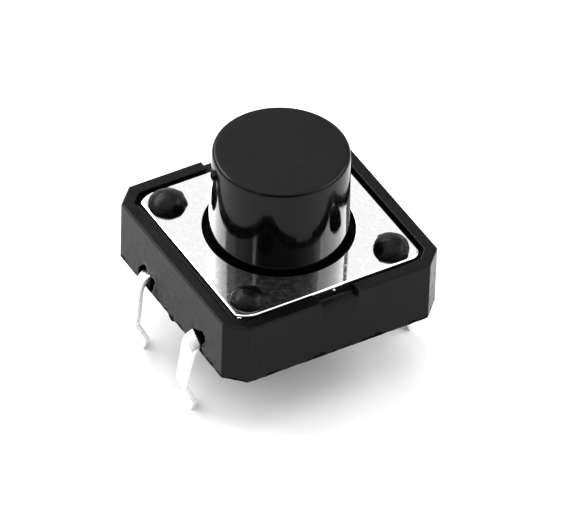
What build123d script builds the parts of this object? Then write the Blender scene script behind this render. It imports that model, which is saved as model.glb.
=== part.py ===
# Tactile push button switch, 12 mm square body, through-hole, four terminals.
# Frame: origin at the middle of the base's underside (the plane that sits on the
# circuit board), +Z up along the plunger, X across the pin sides. Millimetres.
from build123d import *
import os

os.makedirs("parts", exist_ok=True)

# ---------------------------------------------------------------- dimensions
body_w = 12.0            # base, square, over the walls
body_chamfer = 0.95      # the four upright corners
base_h = 3.5             # underside to top of the rim
rim_in = 5.38            # half width inside the rim
cover_t = 0.30           # cover plate thickness
cover_top = 3.48         # top face of the cover
seat_z = cover_top - cover_t          # ledge that the cover lies on

cover_hx = 5.12          # cover half sizes
cover_hy = 5.15
cover_long = 1.00        # corner run along X, pin side towards -X
cover_short = 0.45       # corner run along Y
cover_long_r = 0.60      # corner run along X, towards +X
cover_hole_r = 3.81      # hole that the plunger comes up through

tab_w = 2.04             # slot in the rim that clears the cover's carrier tab
tab_stub_w = 0.70        # what is left of that tab, sheared close to the plate
tab_stub_l = 0.10
tab_stub_t = 0.16

post = 4.0               # four staked posts at (+-4, +-4)
post_r = 0.55
post_hole_r = 0.62
head_h = 0.44            # melted head, a low mushroom on the cover
heads = [                # place and radius of each head: no two melt alike
    (post, post, 0.90), (-post, post, 0.97), (-post, -post, 0.88), (post, -post, 0.90),
]

well_r = 4.55            # round well for the flange
well_z = 1.15            # floor of the well

plunger_top = 8.30
plunger_r_top = 3.37     # just under the top edge
plunger_r_low = 3.465    # at the level of the rim
top_edge_r = 0.19
flange_r = 4.47          # running fit in the well
flange_top = 3.13
flange_t = 0.60
nub_r = 1.0
travel = 0.30            # operating stroke

dome_r = 3.45            # snap dome
dome_rise = 0.42
dome_t = 0.10
dome_z = well_z

front_y = -2.54          # pin rows, 5.0 apart, a trace off centre in the mould
rear_y = 2.46
pin_w = 0.82
pin_t = 0.28
strip_low = 0.70         # underside of the terminal strips inside the base
strip_top = strip_low + pin_t
pin_end = -3.55          # pin length below the board plane
pocket_d = 0.90          # depth of the recess in the wall round each pin
shoulder = 1.05          # the strips' straight part stops this far inside the wall
rear_pocket = [          # outline (Y, Z) of the recess round the rear pins, a lobe each side
    (1.92, 0.16), (1.80, 0.34), (1.72, 0.56), (1.66, 0.80), (1.56, 1.04), (1.62, 1.15), (1.74, 1.19),
    (1.94, 1.15), (2.10, 1.03), (2.22, 0.99), (2.34, 1.04), (2.39, 1.20), (2.44, 1.38), (2.55, 1.44),
    (2.70, 1.37), (2.86, 1.24), (3.04, 1.02), (3.18, 0.86), (3.24, 0.60), (3.20, 0.34), (3.10, 0.16),
]
front_pocket = [         # and round the front pins
    (-1.96, 0.16), (-1.90, 0.40), (-1.95, 0.66), (-2.07, 0.86), (-2.22, 1.05), (-2.37, 1.18),
    (-2.56, 1.25), (-2.78, 1.33), (-2.98, 1.50), (-3.15, 1.57), (-3.30, 1.53), (-3.40, 1.38),
    (-3.42, 1.16), (-3.33, 0.98), (-3.22, 0.84), (-3.12, 0.62), (-3.10, 0.40), (-3.16, 0.16),
]
groove_in = 5.13         # groove in the ledge, just outside the cover
groove_z = 2.94
centre_pad_z = 1.25      # raised fixed contact under the dome
centre_pad_r = 0.60
side_pad_x = 3.10
core_r = 0.50            # holes left by the pins that hold the strips in the mould

half = body_w / 2


# ---------------------------------------------------------------- terminals
# One pin seen from the front: out of the wall, over the shoulder, down and
# outwards to the kink that grips the board, back in, and a short turned-out end.
# kink and foot are how far out the kink's and the foot's inner faces stand.
def pin_line(side, lift, kink, foot, foot_z, end, kink_z=-1.60):
    s, h = side, pin_t / 2
    mid = strip_low + h
    return [
        (s * (half - shoulder - 0.3), mid),
        (s * 5.60, mid + lift * 0.4),
        (s * 5.85, mid + lift * 0.8 - 0.03),
        (s * 6.08, mid + lift - 0.12),
        (s * 6.27, 0.52 + lift * 0.5),
        (s * 6.38, 0.25),
        (s * (kink + h - 0.03), kink_z),
        (s * (kink + h - 0.015), kink_z - 0.25),
        (s * (foot + h + 0.01), foot_z),
        (s * (foot + h + 0.01 + end[0]), foot_z - end[1]),
    ]


def pin_outline(pts, t):
    """Both sides of a strip of thickness t along the points, as one closed loop."""
    left, right = [], []
    n = len(pts)
    for i in range(n):
        x, z = pts[i]
        if i == 0:
            dx, dz = pts[1][0] - x, pts[1][1] - z
            k = 1.0
        elif i == n - 1:
            dx, dz = x - pts[i - 1][0], z - pts[i - 1][1]
            k = 1.0
        else:
            ax, az = x - pts[i - 1][0], z - pts[i - 1][1]
            bx, bz = pts[i + 1][0] - x, pts[i + 1][1] - z
            la, lb = (ax * ax + az * az) ** 0.5, (bx * bx + bz * bz) ** 0.5
            ax, az, bx, bz = ax / la, az / la, bx / lb, bz / lb
            dx, dz = ax + bx, az + bz
            ld = (dx * dx + dz * dz) ** 0.5
            k = 1.0 / ((ax * dx + az * dz) / ld)
        ld = (dx * dx + dz * dz) ** 0.5
        nx, nz = -dz / ld, dx / ld
        left.append((x + nx * t / 2 * k, z + nz * t / 2 * k))
        right.append((x - nx * t / 2 * k, z - nz * t / 2 * k))
    return left + right[::-1]


def cut_level(loop, z):
    """Square the pin's end off on the level z."""
    out = []
    for i in range(len(loop)):
        a, b = loop[i], loop[(i + 1) % len(loop)]
        if a[1] >= z:
            out.append(a)
        if (a[1] >= z) != (b[1] >= z):
            f = (z - a[1]) / (b[1] - a[1])
            out.append((a[0] + f * (b[0] - a[0]), z))
    return out


# the four pins: side, lift of the shoulder, kink, foot, foot level, turned-out end
front_pins = [(-1, -0.20, 6.60, 6.00, -3.18, (0.32, 0.60), -1.70), (1, 0.03, 6.38, 5.80, -3.12, (0.20, 0.60))]
rear_pins = [(-1, 0.08, 6.52, 5.88, -3.08, (0.22, 0.60)), (1, 0.02, 6.44, 5.88, -3.10, (0.24, 0.60))]

front_loops = [cut_level(pin_outline(pin_line(*p), pin_t), pin_end) for p in front_pins]
rear_loops = [cut_level(pin_outline(pin_line(*p), pin_t), pin_end) for p in rear_pins]
strip_half = half - shoulder

# front strip: across the body, with a tongue to the fixed contact in the middle
with BuildPart() as terminal_front:
    with BuildSketch(Plane.XY.offset(strip_low)):
        with Locations((0, front_y)):
            Rectangle(2 * strip_half, pin_w)
        with Locations((0, front_y / 2)):
            Rectangle(0.9, -front_y)
        Circle(centre_pad_r + 0.15)
    extrude(amount=pin_t)
    with BuildSketch(Plane.XY.offset(strip_top - 0.05)):
        Circle(centre_pad_r)
    extrude(amount=centre_pad_z - strip_top + 0.05)
    for loop in front_loops:
        with BuildSketch(Plane.XZ.offset(-front_y - pin_w / 2)):
            with BuildLine():
                Polyline(*loop, close=True)
            make_face()
        extrude(amount=pin_w)
terminal_front.part.label = "terminal_front"

# rear strip: across the body, with two arms to the contacts under the dome's rim
with BuildPart() as terminal_rear:
    with BuildSketch(Plane.XY.offset(strip_low)):
        with Locations((0, rear_y)):
            Rectangle(2 * strip_half, pin_w)
        with Locations((-side_pad_x, rear_y / 2 - 0.35), (side_pad_x, rear_y / 2 - 0.35)):
            Rectangle(0.9, rear_y + 0.7)
    extrude(amount=pin_t)
    with BuildSketch(Plane.XY.offset(strip_top - 0.05)):
        with Locations((-side_pad_x, 0), (side_pad_x, 0)):
            Rectangle(0.9, 1.4)
    extrude(amount=well_z - strip_top + 0.05)
    for loop in rear_loops:
        with BuildSketch(Plane.XZ.offset(-rear_y - pin_w / 2)):
            with BuildLine():
                Polyline(*loop, close=True)
            make_face()
        extrude(amount=pin_w)
terminal_rear.part.label = "terminal_rear"

# ---------------------------------------------------------------- base
# One moulding: floor, walls, rim and the four posts, moulded round the strips.
with BuildPart() as base:
    with BuildSketch():
        Rectangle(body_w, body_w)
    extrude(amount=base_h)
    chamfer(edges().filter_by(Axis.Z), length=body_chamfer)
    # recess for the cover
    with BuildSketch(Plane.XY.offset(seat_z)):
        Rectangle(2 * rim_in, 2 * rim_in)
        chamfer(vertices(), length=0.62)
    extrude(amount=base_h - seat_z, mode=Mode.SUBTRACT)
    # groove in the ledge, between the rim and the cover
    with BuildSketch(Plane.XY.offset(groove_z)):
        with BuildSketch(mode=Mode.PRIVATE) as inner:
            Rectangle(2 * groove_in, 2 * groove_in)
            chamfer(vertices(), length=0.47)
        Rectangle(2 * rim_in, 2 * rim_in)
        chamfer(vertices(), length=0.62)
        add(inner.sketch, mode=Mode.SUBTRACT)
    extrude(amount=seat_z - groove_z, mode=Mode.SUBTRACT)
    # slots in the front and rear rim for the cover's carrier tabs
    with BuildSketch(Plane.XY.offset(seat_z)):
        Rectangle(tab_w, body_w + 1)
    extrude(amount=base_h - seat_z, mode=Mode.SUBTRACT)
    # well
    with BuildSketch(Plane.XY.offset(well_z)):
        Circle(well_r)
    extrude(amount=seat_z - well_z, mode=Mode.SUBTRACT)
    # recesses round the pins
    for s in (-1, 1):
        with BuildSketch(Plane.YZ.offset(s * (half - pocket_d / 2))):
            for outline in (front_pocket, rear_pocket):
                with BuildLine():
                    Polyline(*outline, close=True)
                make_face()
        extrude(amount=pocket_d / 2, both=True, mode=Mode.SUBTRACT)
        # the strip leaves the wall through a stub of plastic in the recess
        with Locations((s * (half - 0.50), front_y, 0.45), (s * (half - 0.50), rear_y, 0.45)):
            Box(0.90, pin_w + 0.04, 0.64)
    # holes left in the floor by the mould's holding pins
    with BuildSketch():
        with Locations((-3.1, front_y), (3.1, front_y), (-1.2, rear_y), (1.2, rear_y)):
            Circle(core_r)
    extrude(amount=strip_low, mode=Mode.SUBTRACT)
    # posts, staked over the cover
    with Locations((post, post, 0), (-post, post, 0), (-post, -post, 0), (post, -post, 0)):
        with Locations((0, 0, seat_z + (cover_t + 0.02) / 2 - 0.01)):
            Cylinder(post_r, cover_t + 0.02)
    for px, py, head_r in heads:
        with BuildSketch(Plane(origin=(px, py, cover_top), x_dir=(1, 0, 0), z_dir=(0, -1, 0))):
            with BuildLine():
                l1 = Line((0, 0), (head_r - 0.06, 0))
                l2 = TangentArc(l1 @ 1, (head_r - 0.05, 0.16), tangent=(1, 0.4))
                l3 = Spline(l2 @ 1, (head_r * 0.62, head_h * 0.86), (0, head_h),
                            tangents=[(-0.35, 1), (-1, 0)])
                Line(l3 @ 1, (0, 0))
            make_face()
        revolve(axis=Axis((px, py, 0), (0, 0, 1)))
    # the strips are moulded in
    add(terminal_front.part, mode=Mode.SUBTRACT)
    add(terminal_rear.part, mode=Mode.SUBTRACT)
base.part.label = "base"

# ---------------------------------------------------------------- cover
with BuildPart() as cover:
    with BuildSketch(Plane.XY.offset(seat_z)):
        with BuildLine():
            hx, hy, a, b, c = cover_hx, cover_hy, cover_long, cover_short, cover_long_r
            Line((-hx + a, -hy), (hx - c, -hy))
            TangentArc((hx - c, -hy), (hx, -hy + b), tangent=(1, 0))
            Line((hx, -hy + b), (hx, hy - b))
            TangentArc((hx - c, hy), (hx, hy - b), tangent=(1, 0))
            Line((hx - c, hy), (-hx + a, hy))
            TangentArc((-hx + a, hy), (-hx, hy - b), tangent=(-1, 0))
            Line((-hx, hy - b), (-hx, -hy + b))
            TangentArc((-hx + a, -hy), (-hx, -hy + b), tangent=(-1, 0))
        make_face()
        fillet(vertices().filter_by(lambda v: abs(abs(v.X) - hx) < 0.001), radius=0.12)
        Circle(cover_hole_r, mode=Mode.SUBTRACT)
        with Locations((post, post), (-post, post), (-post, -post), (post, -post)):
            Circle(post_hole_r, mode=Mode.SUBTRACT)
    extrude(amount=cover_t)
    # die-rolled upper edges, outside and round the plunger hole
    upper = faces().filter_by(Axis.Z).sort_by(Axis.Z)[-1]
    fillet(upper.outer_wire().edges(), radius=0.06)
    fillet(edges().filter_by_position(Axis.Z, cover_top - 0.001, cover_top + 0.001)
           .filter_by(GeomType.CIRCLE).sort_by(SortBy.RADIUS)[-1:], radius=0.07)
    # sheared ends of the carrier tabs
    with Locations((0, -cover_hy - tab_stub_l / 2 + 0.05, seat_z + tab_stub_t / 2),
                   (0, cover_hy + tab_stub_l / 2 - 0.05, seat_z + tab_stub_t / 2)):
        Box(tab_stub_w, tab_stub_l + 0.1, tab_stub_t)
cover.part.label = "cover"

# ---------------------------------------------------------------- plunger
slope = (plunger_r_low - plunger_r_top) / (plunger_top - top_edge_r - base_h)
r_at_flange = plunger_r_low + slope * (base_h - flange_top)
with BuildPart() as plunger:
    with BuildSketch(Plane.XZ):
        with BuildLine():
            Polyline((0, dome_z + dome_rise + dome_t + 0.02), (nub_r, dome_z + dome_rise + dome_t + 0.02),
                     (nub_r + 0.12, flange_top - flange_t), (flange_r, flange_top - flange_t),
                     (flange_r, flange_top), (r_at_flange, flange_top),
                     (plunger_r_top - slope * top_edge_r, plunger_top), (0, plunger_top), close=True)
        make_face()
    revolve(axis=Axis.Z)
    fillet(edges().filter_by_position(Axis.Z, plunger_top - 0.001, plunger_top + 0.001), radius=top_edge_r)
    fillet(edges().filter_by_position(Axis.Z, flange_top - 0.001, flange_top + 0.001)
           .sort_by(SortBy.RADIUS)[-1:], radius=0.08)
plunger.part.label = "plunger"

# ---------------------------------------------------------------- snap dome
dome_R = (dome_r ** 2 + dome_rise ** 2) / (2 * dome_rise)      # radius of the shell's curve
dome_mid = dome_z + dome_rise - dome_R + (dome_R ** 2 - (dome_r * 0.5) ** 2) ** 0.5
with BuildPart() as contact_dome:
    with BuildSketch(Plane.XZ):
        with BuildLine():
            ThreePointArc((0, dome_z + dome_rise), (dome_r * 0.5, dome_mid), (dome_r, dome_z))
            Line((dome_r, dome_z), (dome_r, dome_z + dome_t))
            ThreePointArc((dome_r, dome_z + dome_t), (dome_r * 0.5, dome_mid + dome_t),
                          (0, dome_z + dome_t + dome_rise))
            Line((0, dome_z + dome_t + dome_rise), (0, dome_z + dome_rise))
        make_face()
    revolve(axis=Axis.Z)
contact_dome.part.label = "contact_dome"

# ---------------------------------------------------------------- write
for name, piece in (("base", base), ("cover", cover), ("plunger", plunger),
                    ("contact_dome", contact_dome), ("terminal_front", terminal_front),
                    ("terminal_rear", terminal_rear)):
    export_step(piece.part, "parts/" + name + ".step")
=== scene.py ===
import math
import random
import bpy
import bmesh
from mathutils import Vector, Matrix, noise


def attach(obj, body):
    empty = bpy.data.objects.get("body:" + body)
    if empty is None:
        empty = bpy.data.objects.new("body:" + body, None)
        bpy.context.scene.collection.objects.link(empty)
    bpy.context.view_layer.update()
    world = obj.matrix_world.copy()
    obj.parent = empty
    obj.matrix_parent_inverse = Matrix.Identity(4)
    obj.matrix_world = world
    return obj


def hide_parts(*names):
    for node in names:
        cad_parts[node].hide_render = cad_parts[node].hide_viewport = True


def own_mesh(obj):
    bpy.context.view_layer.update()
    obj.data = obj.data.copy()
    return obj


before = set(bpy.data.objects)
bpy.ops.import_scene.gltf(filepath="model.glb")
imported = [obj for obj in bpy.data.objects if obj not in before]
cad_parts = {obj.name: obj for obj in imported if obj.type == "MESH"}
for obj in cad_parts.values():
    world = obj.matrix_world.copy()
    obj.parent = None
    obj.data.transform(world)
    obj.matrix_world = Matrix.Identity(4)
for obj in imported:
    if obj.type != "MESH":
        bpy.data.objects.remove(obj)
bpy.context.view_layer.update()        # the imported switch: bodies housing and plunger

MM = 0.001
PI = math.pi

# ------------------------------------------------------------------ sizes (mm)
H = 6.0                  # half width of the base
CH = 0.95                # corner chamfer
BASE_H = 3.5
RIM_IN = 5.38
SEAT = 3.18              # ledge under the cover
COVER_TOP = 3.48
COVER_T = 0.30
WELL_R, WELL_Z = 4.55, 1.15
HOLE_R = 3.76
POST = 4.0
PLUNGER_TOP = 8.30
FRONT_Y, REAR_Y = -2.54, 2.46
PIN_W, PIN_T = 0.82, 0.28
STRIP_LOW = 0.70
PIN_END = -3.55
FLOOR_Z = -3.55


# ------------------------------------------------------------------ mesh helpers
def finish_mesh(bm, name, body, mat, smooth_angle=40.0, scale=MM):
    """bm is in millimetres; the object gets metres."""
    bmesh.ops.recalc_face_normals(bm, faces=bm.faces)
    me = bpy.data.meshes.new(name)
    bm.to_mesh(me)
    bm.free()
    me.transform(Matrix.Scale(scale, 4))
    ob = bpy.data.objects.new(name, me)
    bpy.context.scene.collection.objects.link(ob)
    me.materials.append(mat)
    shade(ob, smooth_angle)
    return ob


def shade(ob, angle):
    me = ob.data
    for p in me.polygons:
        p.use_smooth = True
    try:
        me.set_sharp_from_angle(angle=math.radians(angle))
    except Exception:
        pass


def temp_object(bm, name):
    me = bpy.data.meshes.new(name)
    bm.to_mesh(me)
    bm.free()
    ob = bpy.data.objects.new(name, me)
    bpy.context.scene.collection.objects.link(ob)
    return ob


def apply_all(ob):
    dg = bpy.context.evaluated_depsgraph_get()
    dg.update()
    me = bpy.data.meshes.new_from_object(ob.evaluated_get(dg))
    old = ob.data
    ob.modifiers.clear()
    ob.data = me
    bpy.data.meshes.remove(old)


def drop(ob):
    me = ob.data
    bpy.data.objects.remove(ob)
    bpy.data.meshes.remove(me)


def loops_to_faces(bm, loops, cap_first=True, cap_last=True):
    """Closed loops of the same length, joined by quads."""
    rows = [[bm.verts.new(p) for p in lp] for lp in loops]
    n = len(rows[0])
    for a, b in zip(rows, rows[1:]):
        for i in range(n):
            j = (i + 1) % n
            bm.faces.new((a[i], a[j], b[j], b[i]))
    if cap_first:
        bm.faces.new(rows[0][::-1])
    if cap_last:
        bm.faces.new(rows[-1])
    return rows


def revolve(bm, profile, n=160, centre=(0, 0), wobble=None):
    """profile: (r, z) from bottom axis to top axis. First and last may be r = 0."""
    rows = []
    for k, (r, z) in enumerate(profile):
        if r < 1e-9:
            rows.append([bm.verts.new((centre[0], centre[1], z))])
        else:
            row = []
            for i in range(n):
                a = 2 * PI * i / n
                rr, zz = (r, z) if wobble is None else wobble(r, z, a)
                row.append(bm.verts.new((centre[0] + rr * math.cos(a), centre[1] + rr * math.sin(a), zz)))
            rows.append(row)
    for a, b in zip(rows, rows[1:]):
        if len(a) == 1 and len(b) == 1:
            continue
        for i in range(n):
            j = (i + 1) % n
            if len(a) == 1:
                bm.faces.new((a[0], b[j], b[i]))
            elif len(b) == 1:
                bm.faces.new((a[i], a[j], b[0]))
            else:
                bm.faces.new((a[i], a[j], b[j], b[i]))
    return rows


def arc(cx, cz, r, a0, a1, n):
    return [(cx + r * math.cos(math.radians(a0 + (a1 - a0) * i / n)),
             cz + r * math.sin(math.radians(a0 + (a1 - a0) * i / n))) for i in range(n + 1)]


def fbm(p, scale, octaves=3, seed=0.0):
    v, amp, f = 0.0, 1.0, scale
    for _ in range(octaves):
        v += amp * noise.noise(Vector((p[0] * f + seed, p[1] * f - seed * 1.7, p[2] * f + seed * 0.3)))
        amp *= 0.5
        f *= 2.03
    return v


# ------------------------------------------------------------------ materials
def new_mat(name):
    m = bpy.data.materials.new(name)
    m.use_nodes = True
    nt = m.node_tree
    nt.nodes.clear()
    out = nt.nodes.new("ShaderNodeOutputMaterial")
    b = nt.nodes.new("ShaderNodeBsdfPrincipled")
    nt.links.new(b.outputs["BSDF"], out.inputs["Surface"])
    return m, nt, b


def node(nt, kind, **props):
    n = nt.nodes.new(kind)
    for k, v in props.items():
        if k in n.inputs:
            n.inputs[k].default_value = v
        else:
            setattr(n, k, v)
    return n


def coords(nt, scale=(1, 1, 1)):
    tc = nt.nodes.new("ShaderNodeTexCoord")
    mp = nt.nodes.new("ShaderNodeMapping")
    mp.inputs["Scale"].default_value = scale
    nt.links.new(tc.outputs["Object"], mp.inputs["Vector"])
    return mp.outputs["Vector"]


def tex_noise(nt, vec, scale, detail=4.0, rough=0.55):
    n = nt.nodes.new("ShaderNodeTexNoise")
    n.inputs["Scale"].default_value = scale
    n.inputs["Detail"].default_value = detail
    n.inputs["Roughness"].default_value = rough
    nt.links.new(vec, n.inputs["Vector"])
    return n.outputs["Fac"]


def ramp(nt, fac, lo, hi, a=0.0, b=1.0):
    r = nt.nodes.new("ShaderNodeMapRange")
    r.inputs["From Min"].default_value = lo
    r.inputs["From Max"].default_value = hi
    r.inputs["To Min"].default_value = a
    r.inputs["To Max"].default_value = b
    nt.links.new(fac, r.inputs["Value"])
    return r.outputs["Result"]


def mix_col(nt, fac, c1, c2):
    m = nt.nodes.new("ShaderNodeMix")
    m.data_type = "RGBA"
    m.inputs["A"].default_value = (*c1, 1)
    m.inputs["B"].default_value = (*c2, 1)
    nt.links.new(fac, m.inputs["Factor"])
    return m.outputs["Result"]


def add(nt, a, b, op="ADD"):
    m = nt.nodes.new("ShaderNodeMath")
    m.operation = op
    for i, x in enumerate((a, b)):
        if isinstance(x, (int, float)):
            m.inputs[i].default_value = x
        else:
            nt.links.new(x, m.inputs[i])
    return m.outputs[0]


def bump(nt, height, strength, dist, normal=None):
    b = nt.nodes.new("ShaderNodeBump")
    b.inputs["Strength"].default_value = strength
    b.inputs["Distance"].default_value = dist
    nt.links.new(height, b.inputs["Height"])
    if normal is not None:
        nt.links.new(normal, b.inputs["Normal"])
    return b.outputs["Normal"]


def plastic(name, dark, light, rough, spec, grain, grain_dist, large=0.35):
    """Moulded black plastic: fine eroded grain, slow tone changes, slight orange peel."""
    m, nt, b = new_mat(name)
    v = coords(nt)
    fine = tex_noise(nt, v, grain, 5, 0.6)
    slow = tex_noise(nt, v, 420, 3, 0.5)
    mid = tex_noise(nt, v, 2600, 3, 0.55)
    nt.links.new(mix_col(nt, ramp(nt, slow, 0.35, 0.68), dark, light), b.inputs["Base Color"])
    r = add(nt, ramp(nt, mid, 0.3, 0.7, rough - 0.06, rough + 0.06), ramp(nt, slow, 0.3, 0.7, -0.03, 0.03))
    nt.links.new(r, b.inputs["Roughness"])
    b.inputs["Specular IOR Level"].default_value = spec
    b.inputs["IOR"].default_value = 1.5
    n1 = bump(nt, slow, large, 4e-6)
    n2 = bump(nt, fine, 0.5, grain_dist, n1)
    nt.links.new(n2, b.inputs["Normal"])
    return m


mat_base = plastic("base_nylon", (0.0026, 0.0026, 0.0028), (0.0050, 0.0050, 0.0053), 0.25, 0.17, 14000, 5e-6)
mat_head = plastic("staked_nylon", (0.0016, 0.0016, 0.0017), (0.0036, 0.0036, 0.0038), 0.30, 0.20, 9000, 4e-6, 0.4)
# Darker, matte copy of the black plastic: painted shade for recesses, under-edges and joints between parts.
mat_painted_shade = plastic("painted_shade_plastic", (0.0010, 0.0010, 0.0011), (0.0022, 0.0022, 0.0023), 0.60, 0.05, 12000, 8e-6)
# Flange: a matte finish, and a darker colour that is painted shade for the gap under the cover.
mat_flange_painted_shade = plastic("flange_acetal_painted_shade", (0.0010, 0.0010, 0.0011), (0.0016, 0.0016, 0.0017), 0.55, 0.04, 9000, 3e-6)
mat_plunger = plastic("plunger_acetal", (0.0020, 0.0020, 0.0022), (0.0034, 0.0034, 0.0036), 0.10, 0.24, 9000, 0.8e-6, 0.10)
mat_top = plastic("plunger_top", (0.0030, 0.0030, 0.0032), (0.0052, 0.0052, 0.0055), 0.34, 0.165, 16000, 4e-6)


def metal(name, colour, rough, grain, streak, bump_d, spots=0.1, haze=0.0):
    m, nt, b = new_mat(name)
    v = coords(nt)
    vs = coords(nt, (1.0, 14.0, 1.0))
    speck = tex_noise(nt, v, grain, 5, 0.65)
    lines = tex_noise(nt, vs, streak, 4, 0.6)
    slow = tex_noise(nt, v, 320, 2, 0.5)
    c1 = tuple(c * 0.93 for c in colour)
    nt.links.new(mix_col(nt, ramp(nt, speck, 0.35, 0.65), c1, colour), b.inputs["Base Color"])
    b.inputs["Metallic"].default_value = 1.0
    r = add(nt, ramp(nt, speck, 0.35, 0.7, rough * 0.7, rough * 1.5), ramp(nt, lines, 0.35, 0.7, -0.02, 0.03))
    dull = tex_noise(nt, v, 2600, 7, 0.75)
    r = add(nt, r, ramp(nt, dull, 0.48, 0.66, 0.0, spots))
    nt.links.new(r, b.inputs["Roughness"])
    if haze:
        nt.links.new(ramp(nt, dull, 0.44, 0.64, 1.0 - haze * 0.35, 1.0 - haze), b.inputs["Metallic"])
    n1 = bump(nt, slow, 0.25, 6e-6)
    n2 = bump(nt, lines, 0.25, bump_d, n1)
    n3 = bump(nt, speck, 0.35, bump_d, n2)
    nt.links.new(n3, b.inputs["Normal"])
    return m


mat_cover = metal("cover_bright_steel", (0.97, 0.97, 0.965), 0.040, 5200, 700, 0.28e-6, 0.14, 0.038)
mat_pin = metal("pin_tin", (0.95, 0.95, 0.94), 0.28, 6000, 900, 1.2e-6)
mat_dome = metal("dome_silver", (0.88, 0.87, 0.84), 0.24, 5200, 700, 1.5e-6)

# ------------------------------------------------------------------ plunger
slope = (3.465 - 3.37) / (PLUNGER_TOP - 0.19 - BASE_H)


def r_at(z):
    return 3.465 + slope * (BASE_H - z)


FR, FT, FB = 4.47, 3.13, 2.53
prof = [(0, 1.69), (0.94, 1.69), (0.985, 1.705), (1.0, 1.75), (1.10, FB - 0.06), (1.14, FB - 0.015), (1.2, FB)]
prof += [(FR - 0.08, FB)] + arc(FR - 0.08, FB + 0.08, 0.08, -90, 0, 5)[1:]
prof += arc(FR - 0.08, FT - 0.08, 0.08, 0, 90, 5)
prof += [(r_at(FT) + 0.05, FT)] + [(r_at(FT) + 0.012, FT + 0.014), (r_at(FT), FT + 0.05)]
for k in range(1, 13):
    z = FT + 0.05 + (PLUNGER_TOP - 0.19 - FT - 0.05) * k / 12
    prof.append((r_at(z), z))
rt = r_at(PLUNGER_TOP - 0.19)
prof += arc(rt - 0.19, PLUNGER_TOP - 0.19, 0.19, 1, 90, 12)[1:]
for k in range(1, 9):
    prof.append(((rt - 0.19) * (1 - k / 9), PLUNGER_TOP))
prof.append((0, PLUNGER_TOP))
bm = bmesh.new()
revolve(bm, prof, 220)
plunger = finish_mesh(bm, "plunger_stem", "plunger", mat_plunger)
plunger.data.materials.append(mat_top)
plunger.data.materials.append(mat_flange_painted_shade)
# Faces at and below the flange top take the flange material, whose darker colour paints the shade in the gap round the
# plunger.
for p in plunger.data.polygons:
    c = p.center
    if c.z < (FT + 0.02) * MM:
        p.material_index = 2
    if c.z > (PLUNGER_TOP - 0.004) * MM:
        p.material_index = 1
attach(plunger, "plunger")
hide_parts("plunger")


# ------------------------------------------------------------------ cover
def corner_arc(p0, p1, tangent, n=10):
    """Arc from p0, leaving along tangent, to p1."""
    p0, p1, t = Vector(p0), Vector(p1), Vector(tangent).normalized()
    d = p1 - p0
    nrm = Vector((-t.y, t.x))
    if nrm.dot(d) < 0:
        nrm = -nrm
    R = d.length_squared / (2 * d.dot(nrm))
    c = p0 + nrm * R
    a0 = math.atan2(p0.y - c.y, p0.x - c.x)
    a1 = math.atan2(p1.y - c.y, p1.x - c.x)
    while a1 - a0 > PI:
        a1 -= 2 * PI
    while a1 - a0 < -PI:
        a1 += 2 * PI
    return [(c.x + R * math.cos(a0 + (a1 - a0) * i / n), c.y + R * math.sin(a0 + (a1 - a0) * i / n)) for i in range(n + 1)]


def round_poly(pts, radius, sharp_deg=25, n=5):
    """Rounds the corners of a closed polygon that turn by more than sharp_deg."""
    out = []
    m = len(pts)
    for i in range(m):
        a, b, c = Vector(pts[i - 1]), Vector(pts[i]), Vector(pts[(i + 1) % m])
        u, w = (b - a), (c - b)
        if u.length < 1e-6 or w.length < 1e-6:
            continue
        turn = u.angle(w)
        if math.degrees(turn) < sharp_deg:
            out.append(tuple(b))
            continue
        t = min(radius * math.tan(turn / 2), 0.45 * u.length, 0.45 * w.length)
        p, q = b - u.normalized() * t, b + w.normalized() * t
        for k in range(n + 1):
            s = k / n
            out.append(tuple(p * (1 - s) ** 2 + b * 2 * s * (1 - s) + q * s * s))
    return out


def cover_outline():
    hx, hy, a, b, c = 5.12, 5.15, 1.00, 0.45, 0.60
    pts = []
    pts += [(-hx + a, -hy), (0, -hy)]
    pts += corner_arc((hx - c, -hy), (hx, -hy + b), (1, 0))
    pts += [(hx, 0)]
    pts += corner_arc((hx - c, hy), (hx, hy - b), (1, 0))[::-1]
    pts += [(0, hy)]
    pts += corner_arc((-hx + a, hy), (-hx, hy - b), (-1, 0))
    pts += [(-hx, 0)]
    pts += corner_arc((-hx + a, -hy), (-hx, -hy + b), (-1, 0))[::-1][:-1]
    return round_poly(pts, 0.12)


def offset_poly(pts, d):
    """Moves each edge of a counter-clockwise polygon inwards by d."""
    out = []
    m = len(pts)
    for i in range(m):
        a, b, c = Vector(pts[i - 1]), Vector(pts[i]), Vector(pts[(i + 1) % m])
        u, w = (b - a).normalized(), (c - b).normalized()
        n1, n2 = Vector((-u.y, u.x)), Vector((-w.y, w.x))
        n = (n1 + n2)
        n.normalize()
        k = d / max(0.3, n.dot(n1))
        out.append((b.x + n.x * k, b.y + n.y * k))
    return out


def fill_ring(bm, outer, inners):
    """Triangulated flat face between an outer loop of verts and inner loops."""
    edges = []
    for lp in [outer] + inners:
        for i in range(len(lp)):
            e = bm.edges.get((lp[i], lp[(i + 1) % len(lp)]))
            if e is None:
                e = bm.edges.new((lp[i], lp[(i + 1) % len(lp)]))
            edges.append(e)
    return bmesh.ops.triangle_fill(bm, use_beauty=True, use_dissolve=False, edges=edges)


def circle_pts(cx, cy, r, n):
    return [(cx + r * math.cos(2 * PI * i / n), cy + r * math.sin(2 * PI * i / n)) for i in range(n)]


bm = bmesh.new()
outl = cover_outline()
zt, zb = COVER_TOP, SEAT


def stack(bm, make, levels):
    rows = []
    for d, z in levels:
        rows.append([bm.verts.new((x, y, z)) for x, y in make(d)])
    for a, b in zip(rows, rows[1:]):
        for i in range(len(a)):
            j = (i + 1) % len(a)
            bm.faces.new((a[i], a[j], b[j], b[i]))
    return rows


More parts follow.
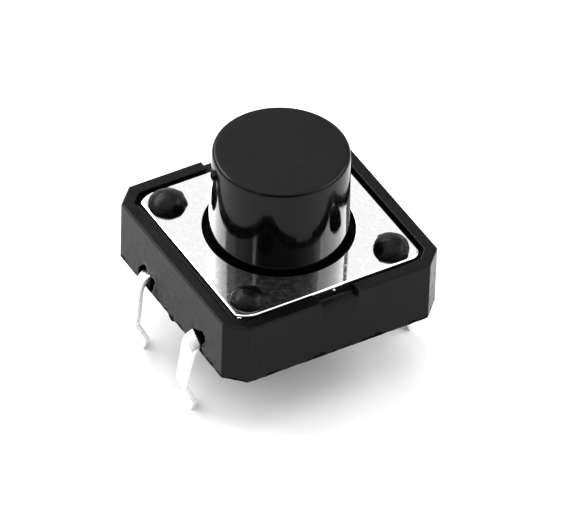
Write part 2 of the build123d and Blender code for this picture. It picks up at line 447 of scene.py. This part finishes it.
roll = [(0.0, 0.0), (0.10, 0.006), (0.32, 0.045), (0.6, 0.13), (0.85, 0.28), (1.0, 0.5)]
er = 0.10                # die roll on the upper edge
levels = [(0.012, zb), (0.0, zb + 0.02), (0.0, zt - er * 1.0)]
levels += [(er * 0.03, zt - er * 0.62), (er * 0.13, zt - er * 0.36), (er * 0.3, zt - er * 0.17),
           (er * 0.6, zt - er * 0.05), (er * 1.0, zt), (er + 0.02, zt)]
outer_rows = stack(bm, lambda d: offset_poly(outl, d), levels)
NH = 180
hr_ = 0.03
hole_levels = [(0.012, zb), (0.0, zb + 0.02), (0.0, zt - hr_), (hr_ * 0.03, zt - hr_ * 0.62), (hr_ * 0.13, zt - hr_ * 0.36),
               (hr_ * 0.3, zt - hr_ * 0.17), (hr_ * 0.6, zt - hr_ * 0.05), (hr_, zt), (hr_ + 0.02, zt)]
hole_rows = stack(bm, lambda d: circle_pts(0, 0, HOLE_R + d, NH), hole_levels)
post_rows = [stack(bm, lambda d, x=x, y=y: circle_pts(x, y, 0.62 + d, 28), [(0, zb), (0, zt)])
             for x in (-POST, POST) for y in (-POST, POST)]
fill_ring(bm, outer_rows[-1], [hole_rows[-1]] + [p[-1] for p in post_rows])
fill_ring(bm, outer_rows[0], [hole_rows[0]] + [p[0] for p in post_rows])
# small burrs left by the cut on the side of the plate
for cx, cy, cz, a, b_, c, ang in ((-4.975, -4.850, 3.345, 0.13, 0.055, 0.055, -38), (0.14, -5.17, 3.25, 0.065, 0.055, 0.055, 0)):
    r = bmesh.ops.create_icosphere(bm, subdivisions=3, radius=1.0)
    rot_z = Matrix.Rotation(math.radians(ang), 3, "Z")
    for v in r["verts"]:
        n1 = 1 + 0.15 * fbm(v.co, 1.5, 2, cx)
        v.co = rot_z @ Vector((v.co.x * a * n1, v.co.y * b_ * n1, v.co.z * c * n1)) + Vector((cx, cy, cz))
cover = finish_mesh(bm, "cover_plate", "housing", mat_cover, 32)
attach(cover, "housing")
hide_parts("cover")


# ------------------------------------------------------------------ base
def octo_loop(inset, n_side=64, rc=0.07, n_c=4):
    """Loop of the chamfered square, inset from the outside, with small rounded upright edges.
    The same count of points at every inset, so that loops join by quads."""
    h = H - inset
    c = CH - inset * (2 - math.sqrt(2))
    corners = [(h, -h + c), (h, h - c), (h - c, h), (-h + c, h), (-h, h - c), (-h, -h + c), (-h + c, -h), (h - c, -h)]
    pts = []
    m = len(corners)
    for i in range(m):
        a, b, d = Vector(corners[i - 1]), Vector(corners[i]), Vector(corners[(i + 1) % m])
        u, w = (b - a).normalized(), (d - b).normalized()
        t = rc * math.tan(PI / 8)
        p, q = b - u * t, b + w * t
        for k in range(n_c + 1):
            s = k / n_c
            pts.append(tuple(p * (1 - s) ** 2 + b * 2 * s * (1 - s) + q * s * s))
        nn = n_side if (d - b).length > 4 else 8
        q2 = d - w * t
        for k in range(1, nn):
            pts.append(tuple(q.lerp(q2, k / nn)))
    return pts


bm = bmesh.new()
loops = []
e = 0.05
for ins, z in [(0.10, 0.0), (0.062, 0.018), (0.030, 0.055), (0.010, 0.11), (0.0, 0.15), (0.0, 0.19), (0.0, 0.23), (0.0, 0.28), (0.0, 0.34), (0.0, BASE_H * 0.5), (0.0, BASE_H - 0.10), (0.0, BASE_H - 0.07), (0.02, BASE_H - 0.02), (0.07, BASE_H), (0.10, BASE_H), (0.62 - 0.08, BASE_H),
               (0.62 - 0.05, BASE_H), (0.62 - 0.012, BASE_H - 0.014), (0.62, BASE_H - 0.06), (0.622, 2.96), (0.63, 2.94), (0.705, 2.94), (0.712, 3.34), (0.740, 3.36), (0.750, 2.94), (0.835, 2.94), (0.85, SEAT - 0.02), (0.87, SEAT)]:
    lp = []
    for x, y in octo_loop(ins):
        k = 0.0 if z > 0.12 else 1.0 - z / 0.12
        n1 = fbm((x, y, 0.0), 3.1, 3, 2.0)
        g = 1 - 0.006 * k * max(0.0, n1 + 0.2)
        lp.append((x * g, y * g, z + 0.035 * k * max(0.0, fbm((x, y, 0.0), 2.3, 3, 9.0))))
    loops.append(lp)
rim = octo_loop(0.87)
angs = [math.atan2(y, x) for x, y in rim]
for r, z in [(WELL_R + 0.04, SEAT), (WELL_R + 0.01, SEAT - 0.012), (WELL_R, SEAT - 0.05), (WELL_R, WELL_Z + 0.05), (WELL_R - 0.05, WELL_Z)]:
    loops.append([(r * math.cos(a), r * math.sin(a), z) for a in angs])
loops_to_faces(bm, loops)
bmesh.ops.recalc_face_normals(bm, faces=bm.faces)
base = temp_object(bm, "base_work")


def cutter_box(name, lo, hi):
    b = bmesh.new()
    bmesh.ops.create_cube(b, size=1.0)
    for v in b.verts:
        v.co = Vector(((lo[i] + hi[i]) / 2 + v.co[i] * (hi[i] - lo[i]) for i in range(3)))
    return temp_object(b, name)


cutters = []
for s in (-1, 1):
    cutters.append(cutter_box("cut_tab", (-1.02, min(s * 4.9, s * 6.3), SEAT), (1.02, max(s * 4.9, s * 6.3), 4.2)))


REAR_POCKET = [(1.92, 0.16), (1.80, 0.34), (1.72, 0.56), (1.66, 0.80), (1.56, 1.04), (1.62, 1.15), (1.74, 1.19), (1.94, 1.15),
               (2.10, 1.03), (2.22, 0.99), (2.34, 1.04), (2.39, 1.20), (2.44, 1.38), (2.55, 1.44), (2.70, 1.37), (2.86, 1.24),
               (3.04, 1.02), (3.18, 0.86), (3.24, 0.60), (3.20, 0.34), (3.10, 0.16)]
FRONT_POCKET = [(-1.96, 0.16), (-1.90, 0.40), (-1.95, 0.66), (-2.07, 0.86), (-2.22, 1.05), (-2.37, 1.18), (-2.56, 1.25), (-2.78, 1.33),
                (-2.98, 1.50), (-3.15, 1.57), (-3.30, 1.53), (-3.40, 1.38), (-3.42, 1.16), (-3.33, 0.98), (-3.22, 0.84), (-3.12, 0.62),
                (-3.10, 0.40), (-3.16, 0.16)]


def pocket(name, side, outline, depth=0.90):
    b = bmesh.new()
    pts = round_poly(outline, 0.06, 20, 3)
    xs = (side * (H - depth), side * (H + 0.4))
    rows = [[b.verts.new((x, py, pz)) for py, pz in pts] for x in xs]
    m = len(pts)
    for i in range(m):
        j = (i + 1) % m
        b.faces.new((rows[0][i], rows[0][j], rows[1][j], rows[1][i]))
    b.faces.new(rows[0][::-1])
    b.faces.new(rows[1])
    bmesh.ops.recalc_face_normals(b, faces=b.faces)
    return temp_object(b, name)


for s in (-1, 1):
    for outline in (FRONT_POCKET, REAR_POCKET):
        cutters.append(pocket("cut_pin", s, outline))
for x, y in ((-3.1, FRONT_Y), (3.1, FRONT_Y), (-1.2, REAR_Y), (1.2, REAR_Y)):
    b = bmesh.new()
    revolve(b, [(0, -0.5), (0.5, -0.5), (0.5, STRIP_LOW), (0, STRIP_LOW)], 40, (x, y))
    bmesh.ops.recalc_face_normals(b, faces=b.faces)
    cutters.append(temp_object(b, "cut_core"))
for c in cutters:
    md = base.modifiers.new("cut", "BOOLEAN")
    md.operation = "DIFFERENCE"
    md.solver = "EXACT"
    md.object = c
apply_all(base)
for c in cutters:
    drop(c)
md = base.modifiers.new("soft", "BEVEL")
md.width = 0.035
md.segments = 2
md.limit_method = "ANGLE"
md.angle_limit = math.radians(60)
md.use_clamp_overlap = True
apply_all(base)

# the posts and their melted heads
bm = bmesh.new()
bm.from_mesh(base.data)
# Plastic blocks over the pin roots inside the pockets; they take the painted-shade material below and stand in for the
# dark shade of the pockets.
for s_, y, z_in, z_out in ((-1, FRONT_Y, 0.84, 1.04), (-1, REAR_Y, 0.95, 0.70), (1, FRONT_Y, 0.78, 0.80), (1, REAR_Y, 0.80, 0.78)):
    ya, yb = y - PIN_W / 2 - 0.02, y + PIN_W / 2 + 0.02
    sec = [(ya, 0.13), (yb, 0.13), (yb, z_out), (ya, z_in)]
    va = [bm.verts.new((s_ * 5.0, a_, b_)) for a_, b_ in sec]
    vb = [bm.verts.new((s_ * 5.98, a_, b_)) for a_, b_ in sec]
    bm.faces.new(va)
    bm.faces.new(vb[::-1])
    for i in range(4):
        j = (i + 1) % 4
        bm.faces.new((va[i], va[j], vb[j], vb[i]))
r = bmesh.ops.create_icosphere(bm, subdivisions=3, radius=1.0)
for v in r["verts"]:
    n1 = 1 + 0.45 * fbm(v.co, 1.6, 3, 3.3)
    v.co = Vector((-5.93 + v.co.x * 0.055 * n1, -0.02 + v.co.y * 0.27 * n1, -0.02 + v.co.z * 0.13 * n1))
moulding_faces = len(bm.faces)
HEADS = [(-POST, POST, 0.96, 0.53, 1.3, (15, 62, 330)), (POST, -POST, 0.90, 0.53, 4.1, (100, 205, 290)),
         (-POST, -POST, 0.88, 0.42, 7.9, (40, 170)), (POST, POST, 0.90, 0.44, 11.2, (80, 250))]
for hx, hy, hr, hh, seed, flash in HEADS:
    def wob(r, z, a, hr=hr, seed=seed, hh=hh, flash=flash, amp=0.045 if (hx, hy) == (POST, -POST) else 0.022):
        t = r / hr
        zz = max(0.0, (z - COVER_TOP) / hh)
        ca, sa = math.cos(a), math.sin(a)
        v = fbm((ca * 1.3, sa * 1.3, seed), 1.3, 4, seed)
        w = fbm((ca * t * 1.5, sa * t * 1.5, seed + 5), 1.5, 4, seed)
        out = 0.040 * v * min(1, t * 1.2) + (0.03 if hx * hy > 0 else 0.11 if hx < 0 else 0.16) * math.cos(a - 4.17) ** 2
        for f in flash:
            d = (math.degrees(a) - f + 180) % 360 - 180
            if abs(d) < 14 and t > 0.9:
                out += 0.055 * (1 - abs(d) / 14) * (1 + 0.7 * noise.noise(Vector((d * 0.4, f, 0))))
        # a shallow lap where the melted skin folded over
        lap = math.exp(-((t - 0.86 - 0.03 * v) / 0.035) ** 2)
        return r * (1 + out), z + amp * w * zz ** 0.5 * (1 - 0.3 * t) - 0.010 * lap * zz ** 0.3
    p = [(0.56, SEAT - 0.2), (0.56, COVER_TOP - 0.03), (hr + 0.004, COVER_TOP - 0.012)]
    for k in range(1, 31):
        a = k / 30 * PI / 2
        p.append((hr * math.cos(a) if k < 30 else 0.0, COVER_TOP - 0.01 + (hh + 0.06) * math.sin(a) ** 1.12))
    revolve(bm, p, 96, (hx, hy), wob)
bm.faces.index_update()
for f in bm.faces:
    f.material_index = 1 if f.index >= moulding_faces else 0
me = bpy.data.meshes.new("base_moulding")
bmesh.ops.recalc_face_normals(bm, faces=bm.faces)
bm.to_mesh(me)
bm.free()
me.transform(Matrix.Scale(MM, 4))
drop(base)
base = bpy.data.objects.new("base_moulding", me)
bpy.context.scene.collection.objects.link(base)
me.materials.append(mat_base)
me.materials.append(mat_head)
me.materials.append(mat_painted_shade)
# Slot 2, the darker painted-shade plastic, goes where shade falls: a ragged band along the bottom of the outer walls,
# the faces in and round the pin pockets, and the ring where each staked head meets the plate.
for p in me.polygons:
    c, n = p.center / MM, p.normal
    if p.material_index == 0 and c.z < 0.34 and n.z > -0.97 and max(abs(c.x), abs(c.y), (abs(c.x) + abs(c.y)) / 1.842) > 5.85:
        if c.z < 0.20 + 0.24 * fbm((c.x, c.y, 0), 1.9, 4, 6.0):
            p.material_index = 2
    if 4.9 < abs(c.x) < 5.985 and 0.05 < c.z < 1.65 and (-3.45 < c.y < -1.88 or 1.5 < c.y < 3.3):
        p.material_index = 2
    if p.material_index == 1 and c.z < COVER_TOP + 0.07:
        p.material_index = 2
shade(base, 38)
for p in me.polygons:
    if p.normal.z < -0.97 and p.center.z < 0.12 * MM:
        p.use_smooth = False
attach(base, "housing")
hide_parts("base")


# ------------------------------------------------------------------ terminals
def pin_line(side, lift, kink, foot, foot_z, end, kink_z=-1.60):
    s, h = side, PIN_T / 2
    mid = STRIP_LOW + h
    pts = [
        (s * (H - 1.35), mid),
        (s * 5.60, mid + lift * 0.4),
        (s * 5.85, mid + lift * 0.8 - 0.03),
        (s * 6.08, mid + lift - 0.12),
        (s * 6.27, 0.52 + lift * 0.5),
        (s * 6.38, 0.25),
        (s * (kink + h - 0.03), kink_z),
        (s * (kink + h - 0.015), kink_z - 0.25),
        (s * (foot + h + 0.01), foot_z),
        (s * (foot + h + 0.01 + end[0]), foot_z - end[1]),
    ]
    return pts


def smooth_path(pts, cut=0.10, n=4):
    """Rounds each bend over a short length and adds points along the straights."""
    out = [pts[0]]
    for a, b, c in zip(pts, pts[1:], pts[2:]):
        a, b, c = Vector(a), Vector(b), Vector(c)
        t1, t2 = min(cut, 0.4 * (b - a).length), min(cut, 0.4 * (c - b).length)
        p, q = b + (a - b).normalized() * t1, b + (c - b).normalized() * t2
        for k in range(n + 1):
            s_ = k / n
            out.append(tuple(p * (1 - s_) ** 2 + b * 2 * s_ * (1 - s_) + q * s_ * s_))
    out.append(pts[-1])
    fine = [out[0]]
    for a, b in zip(out, out[1:]):
        d = math.hypot(b[0] - a[0], b[1] - a[1])
        m_ = max(1, int(d / 0.09))
        for k in range(1, m_ + 1):
            fine.append((a[0] + (b[0] - a[0]) * k / m_, a[1] + (b[1] - a[1]) * k / m_))
    return fine


def strip(bm, path, y, w, t, rc=0.045, twist=0.0, skew=0.0):
    """A flat strip bent along path (x, z), with slightly rounded long edges.
    twist (degrees) is how far the shoulder is turned about the strip; it dies out towards the kink.
    skew is how much lower one long edge sits than the other."""
    rows = []
    n = len(path)
    dist = [0.0]
    for a, b in zip(path, path[1:]):
        dist.append(dist[-1] + math.hypot(b[0] - a[0], b[1] - a[1]))
    total = dist[-1]
    for i, (x, z) in enumerate(path):
        a, b = path[max(0, i - 1)], path[min(n - 1, i + 1)]
        dx, dz = b[0] - a[0], b[1] - a[1]
        ln = math.hypot(dx, dz)
        nx, nz = -dz / ln, dx / ln
        hw = w / 2 + 0.006 * fbm((x * 1.0, z, y), 2.2, 2, 1.7)
        ht = t / 2 + 0.004 * fbm((x * 1.0, z, y), 2.6, 2, 4.7)
        sec = []
        for sy, st, a0 in ((1, 1, 0), (-1, 1, 90), (-1, -1, 180), (1, -1, 270)):
            for q in range(4):
                ang = math.radians(a0 + q * 30)
                sec.append((sy * (hw - rc) + rc * math.cos(ang), st * (ht - rc) + rc * math.sin(ang)))
        tw = math.tan(math.radians(twist)) * max(0.0, min(1.0, (abs(x) - 5.3) / 0.5)) * max(0.0, min(1.0, (z + 1.3) / 1.9))
        side = -1 if nz < 0 or (abs(nz) < 0.3 and nx * x < 0) else 1
        sk = skew * max(0.0, min(1.0, (abs(x) - 5.3) / 0.5)) * max(0.0, min(1.0, (z + 3.0) / 3.4))
        rows.append([(x + nx * (v + side * u * tw), y + u, z + nz * (v + side * u * tw) + u * sk) for u, v in sec])
    made = loops_to_faces(bm, rows)
    verts = [v for row in made for v in row]
    geom = verts + list({e for v in verts for e in v.link_edges}) + list({f for v in verts for f in v.link_faces})
    r = bmesh.ops.bisect_plane(bm, geom=geom, plane_co=(0, 0, PIN_END + 0.004), plane_no=(0, 0, -1), clear_outer=True)
    rim = [e for e in r["geom_cut"] if isinstance(e, bmesh.types.BMEdge)]
    if rim:
        bmesh.ops.contextual_create(bm, geom=rim)


def box_mm(bm, lo, hi, bev=0.03):
    r = bmesh.ops.create_cube(bm, size=1.0)
    for v in r["verts"]:
        v.co = Vector(((lo[i] + hi[i]) / 2 + v.co[i] * (hi[i] - lo[i]) for i in range(3)))
    edges = list({e for v in r["verts"] for e in v.link_edges})
    bmesh.ops.bevel(bm, geom=edges, offset=bev, segments=2, affect="EDGES", profile=0.6)


front_pins = [(-1, -0.20, 6.60, 6.00, -3.18, (0.32, 0.60), -1.70), (1, 0.03, 6.38, 5.80, -3.12, (0.20, 0.60))]
rear_pins = [(-1, 0.08, 6.52, 5.88, -3.08, (0.22, 0.60)), (1, 0.02, 6.44, 5.88, -3.10, (0.24, 0.60))]
HS = H - 1.05
for nm, y, pins, twists in (("terminal_front_strip", FRONT_Y, front_pins, ((9, 0.45), (3, 0.03))),
                            ("terminal_rear_strip", REAR_Y, rear_pins, ((-17, 0.0), (-2, 0.0)))):
    bm = bmesh.new()
    zl, zh = STRIP_LOW, STRIP_LOW + PIN_T
    box_mm(bm, (-HS - 0.1, y - PIN_W / 2, zl), (HS + 0.1, y + PIN_W / 2, zh))
    if y < 0:
        box_mm(bm, (-0.45, y, zl), (0.45, 0.2, zh))
        revolve(bm, [(0, zl), (0.72, zl), (0.75, zl + 0.03), (0.75, zh - 0.03), (0.72, zh), (0.62, zh), (0.60, zh + 0.03), (0.60, 1.22), (0.57, 1.25), (0, 1.25)], 64)
    else:
        for x in (-3.1, 3.1):
            box_mm(bm, (x - 0.45, -0.70, zl), (x + 0.45, y, zh))
            box_mm(bm, (x - 0.45, -0.70, zh - 0.05), (x + 0.45, 0.70, 1.155), 0.02)
    for spec, (tw, sk) in zip(pins, twists):
        strip(bm, smooth_path(pin_line(*spec)), y, PIN_W, PIN_T, twist=tw, skew=sk)
    ob = finish_mesh(bm, nm, "housing", mat_pin, 50)
    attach(ob, "housing")
    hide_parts("terminal_front" if y < 0 else "terminal_rear")

# ------------------------------------------------------------------ snap dome
DR, DRISE, DT = 3.45, 0.42, 0.10
RR = (DR ** 2 + DRISE ** 2) / (2 * DRISE)


def dome_z(r):
    return WELL_Z + DRISE - RR + math.sqrt(RR ** 2 - r * r)


bm = bmesh.new()
rs = [DR * k / 24 for k in range(25)]
prof = [(r, dome_z(r) + 0.002) for r in rs] + [(r, dome_z(r) + DT) for r in rs[::-1]]
prof[24] = (DR - 0.01, WELL_Z + 0.004)
revolve(bm, prof, 144)
dome = finish_mesh(bm, "snap_dome", "housing", mat_dome, 50)
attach(dome, "housing")
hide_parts("contact_dome")
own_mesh(dome)

# ------------------------------------------------------------------ floor
bm = bmesh.new()
R = 1500.0
rings = [(0.0001 * k * k + 0.0, 0) for k in range(1)]
vs = [bm.verts.new((R * math.cos(2 * PI * i / 64), R * math.sin(2 * PI * i / 64), 0)) for i in range(64)]
bm.faces.new(vs)
me = bpy.data.meshes.new("studio_floor")
bm.to_mesh(me)
bm.free()
me.transform(Matrix.Translation((0, 0, FLOOR_Z * MM)) @ Matrix.Scale(MM, 4))
floor = bpy.data.objects.new("studio_floor", me)
bpy.context.scene.collection.objects.link(floor)
m, nt, b = new_mat("floor_white")
v = coords(nt)
nt.links.new(mix_col(nt, ramp(nt, tex_noise(nt, v, 60, 3), 0.3, 0.7), (0.90, 0.90, 0.90), (0.93, 0.93, 0.93)), b.inputs["Base Color"])
b.inputs["Roughness"].default_value = 0.7
b.inputs["Specular IOR Level"].default_value = 0.1
b.inputs["Emission Color"].default_value = (1, 1, 1, 1)
b.inputs["Emission Strength"].default_value = 0.13
geo = nt.nodes.new("ShaderNodeNewGeometry")
clear = nt.nodes.new("ShaderNodeBsdfTransparent")
mx = nt.nodes.new("ShaderNodeMixShader")
nt.links.new(geo.outputs["Backfacing"], mx.inputs[0])
nt.links.new(b.outputs["BSDF"], mx.inputs[1])
nt.links.new(clear.outputs["BSDF"], mx.inputs[2])
outn = [n for n in nt.nodes if n.type == "OUTPUT_MATERIAL"][0]
nt.links.new(mx.outputs[0], outn.inputs["Surface"])
me.materials.append(m)


# ------------------------------------------------------------------ light
def area(name, loc, target, size, power, size_y=None):
    li = bpy.data.lights.new(name, "AREA")
    li.energy = power
    li.size = size
    if size_y:
        li.shape = "RECTANGLE"
        li.size_y = size_y
    ob = bpy.data.objects.new(name, li)
    ob.location = loc
    d = Vector(target) - Vector(loc)
    ob.rotation_euler = d.to_track_quat("-Z", "Y").to_euler()
    bpy.context.scene.collection.objects.link(ob)
    return ob


w = bpy.data.worlds.new("studio")
bpy.context.scene.world = w
w.use_nodes = True
nt = w.node_tree
bg = nt.nodes["Background"]
bg.inputs["Color"].default_value = (1, 1, 1, 1)
tc = nt.nodes.new("ShaderNodeTexCoord")
dot = nt.nodes.new("ShaderNodeVectorMath")
dot.operation = "DOT_PRODUCT"
dot.inputs[1].default_value = (-0.46, -0.76, 0.46)
nt.links.new(tc.outputs["Generated"], dot.inputs[0])
dot2 = nt.nodes.new("ShaderNodeVectorMath")
dot2.operation = "DOT_PRODUCT"
dot2.inputs[1].default_value = (0.635, 0.405, 0.656)
nt.links.new(tc.outputs["Generated"], dot2.inputs[0])
near = ramp(nt, dot.outputs["Value"], 0.66, 0.93, 1.0, 0.14)
nt.links.new(add(nt, near, ramp(nt, dot2.outputs["Value"], 0.960, 0.988, 1.0, 0.40), "MULTIPLY"), bg.inputs["Strength"])
area("top_softbox", (0.0, 0.08, 0.55), (0, 0, 0), 0.70, 1.2)
area("left_strip", (-0.110, 0.360, 0.329), (0, 0, 0), 0.53, 1.85, 0.18)
area("left_fill", (-0.335, 0.171, 0.329), (0, 0, 0), 0.18, 0.09, 0.18)
area("narrow_strip", (-0.353, -0.133, 0.329), (0, 0, 0), 0.032, 0.060, 0.15)
area("right_strip", (0.362, -0.100, 0.329), (0, 0, 0), 0.48, 0.96, 0.14)
area("right_fill", (0.227, -0.300, 0.329), (0, 0, 0), 0.09, 0.050, 0.14)

# ------------------------------------------------------------------ camera
AZ, EL, ROLL = math.radians(-31.0475), math.radians(41.1517), math.radians(1.9822)
back = Vector((math.sin(AZ) * math.cos(EL), -math.cos(AZ) * math.cos(EL), math.sin(EL)))
right = Vector((math.cos(AZ), math.sin(AZ), 0))
up = back.cross(right)
right2 = right * math.cos(ROLL) + up * math.sin(ROLL)
up2 = -right * math.sin(ROLL) + up * math.cos(ROLL)
loc = (right2 * 0.41 + up2 * 0.6652 + back * 389.0784) * MM
cd = bpy.data.cameras.new("camera")
cd.sensor_width = 36.0
cd.lens = 7934.4519 * 36.0 / 571.0
cd.clip_start = 0.01
cd.clip_end = 20.0
cam = bpy.data.objects.new("camera", cd)
rot = Matrix((right2, up2, back)).transposed()
cam.matrix_world = Matrix.Translation(loc) @ rot.to_4x4()
bpy.context.scene.collection.objects.link(cam)
bpy.context.scene.camera = cam
bpy.context.scene.view_settings.view_transform = "Standard"
bpy.context.scene.view_settings.gamma = 0.86
bpy.context.scene.view_settings.look = "None"
